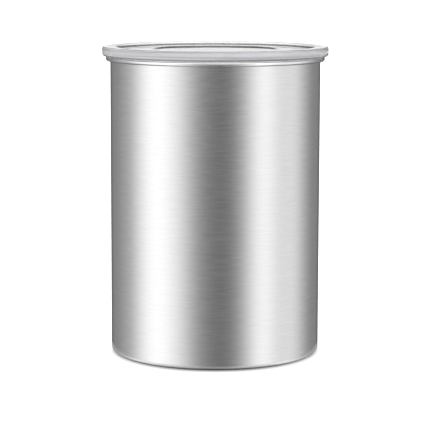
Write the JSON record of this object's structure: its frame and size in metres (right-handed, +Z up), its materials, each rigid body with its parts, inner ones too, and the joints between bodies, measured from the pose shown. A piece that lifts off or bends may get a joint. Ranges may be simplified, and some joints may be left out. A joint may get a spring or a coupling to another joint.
{
  "type": "vacuum seal canister",
  "caption": "Straight brushed-steel food canister with a clear press-on cover over a push-down inner lid that has wiper seals, a folding handle and a cam-opened vent valve.",
  "frame": {"origin": "centre of the ring that the canister stands on, at the level of the table", "axes": "+Z up along the canister's axis; the handle's shaft runs along X and the folded handle lies towards +Y, away from the viewer"},
  "size_m": [0.1282, 0.1282, 0.1741],
  "materials": {
    "brushed_steel": "fine brush lines running round the body",
    "clear_plastic": "clear, glossy moulding",
    "grey_silicone": "soft satin silicone",
    "deck_plastic": "fine spark texture",
    "handle_plastic": "satin",
    "acetal": "natural white, slightly waxy",
    "fastener_steel": "bright stainless",
    "spring_steel": "drawn wire"
  },
  "bodies": {
    "canister": {"canister_shell": "brushed_steel"},
    "cover": {"outer_lid": "clear_plastic", "lid_seal_ring": "grey_silicone"},
    "inner_lid": {"inner_lid_deck": "deck_plastic", "inner_lid_base": "deck_plastic", "upper_wiper_seal": "grey_silicone", "lower_wiper_seal": "grey_silicone", "tower_o_ring": "grey_silicone", "clamp_screws": "fastener_steel", "spring_washer": "fastener_steel", "valve_spring": "spring_steel"},
    "handle": {"bail_handle": "handle_plastic", "handle_axle": "fastener_steel", "valve_cam": "acetal", "cam_pin": "fastener_steel", "handle_pins": "fastener_steel"},
    "valve": {"valve_stem": "acetal", "valve_plug": "deck_plastic", "valve_washer": "grey_silicone", "plug_screw": "fastener_steel"}
  },
  "joints": [
    {"name": "cover_lift", "type": "slide", "parent": "canister", "child": "cover", "axis": [0, 0, 1], "range_m": [0, 0.09]},
    {"name": "inner_lid_press", "type": "slide", "parent": "canister", "child": "inner_lid", "axis": [0, 0, 1], "range_m": [-0.099, 0]},
    {"name": "handle_fold", "type": "hinge", "parent": "inner_lid", "child": "handle", "pos_m": [0, 0, 0.128], "axis": [1, 0, 0], "range_deg": [0, 90]},
    {"name": "valve_open", "type": "slide", "parent": "inner_lid", "child": "valve", "axis": [0, 0, -1], "range_m": [0, 0.003], "deforming": ["valve_spring"]}
  ],
  "couplings": [
    {"joint": "valve_open", "follows": "handle_fold", "m_per_rad": 0.0019098}
  ]
}
